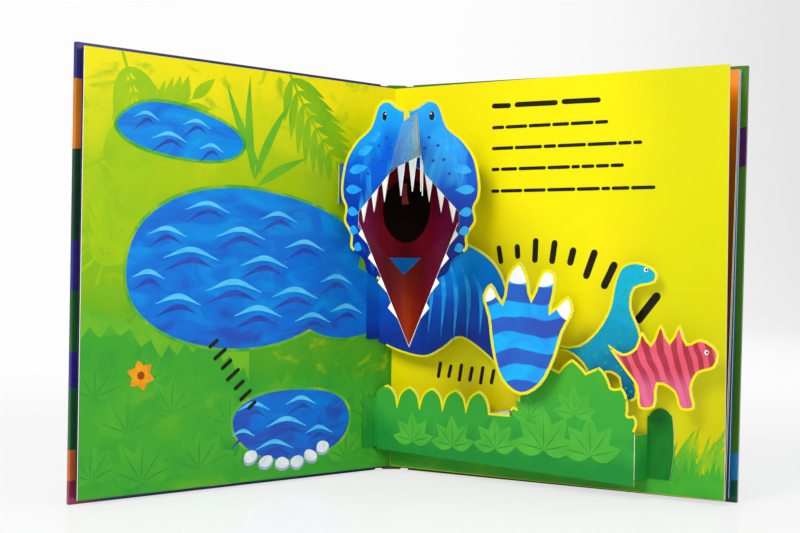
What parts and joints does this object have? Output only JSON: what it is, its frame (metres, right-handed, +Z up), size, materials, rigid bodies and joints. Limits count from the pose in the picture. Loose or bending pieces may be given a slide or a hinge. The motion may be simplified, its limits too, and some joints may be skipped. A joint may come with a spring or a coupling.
{
  "type": "pop-up book",
  "caption": "Hardcover pop-up picture book standing open on one spread, with raised folded card layers and covers that swing back.",
  "frame": {"origin": "middle of the spine's foot, on the surface that the book stands on", "axes": "+X to the right as the reader sees the open spread, +Z up, the reader on the -Y side"},
  "size_m": [0.4115, 0.1597, 0.27],
  "materials": {
    "printed_page": "glossy coated card, printed in yellow, lime and green",
    "case_paper_front": "glossy laminated paper over board, navy",
    "case_paper_back": "glossy laminated paper over board, green",
    "endpaper_purple": "glossy coated paper",
    "endpaper_blue": "glossy coated paper",
    "plain_card": "uncoated white card",
    "blue_card": "glossy coated card",
    "sky_card": "glossy coated card",
    "red_card": "glossy coated card",
    "maroon_card": "glossy coated card",
    "leaf_card": "glossy coated card",
    "teal_card": "glossy coated card",
    "pink_card": "glossy coated card"
  },
  "bodies": {
    "book_block": {"page_block": "printed_page", "spine_board": "case_paper_back", "folded_popup_before": "plain_card", "folded_popup_after": "plain_card", "folded_popup_last": "plain_card", "face_card": "blue_card", "snout_card": "sky_card", "lower_jaw_card": "red_card", "mouth_lining_card": "maroon_card", "face_strut_left": "plain_card", "face_strut_right": "plain_card", "body_card": "sky_card", "body_strut": "plain_card", "paw_card": "sky_card", "paw_spacer": "plain_card", "bush_card": "leaf_card", "longneck_card": "teal_card", "longneck_strut": "plain_card", "plateback_card": "pink_card", "plateback_strut": "plain_card"},
    "front_cover": {"front_board": "case_paper_front", "front_pastedown": "endpaper_purple"},
    "back_cover": {"back_board": "case_paper_back", "back_pastedown": "endpaper_blue"}
  },
  "joints": [
    {"name": "front_cover_hinge", "type": "hinge", "parent": "book_block", "child": "front_cover", "pos_m": [-0.00815, 0, 0.135], "axis": [0, 0, -1], "range_deg": [0, 105]},
    {"name": "back_cover_hinge", "type": "hinge", "parent": "book_block", "child": "back_cover", "pos_m": [0.00815, 0, 0.135], "axis": [0, 0, 1], "range_deg": [0, 105]}
  ]
}
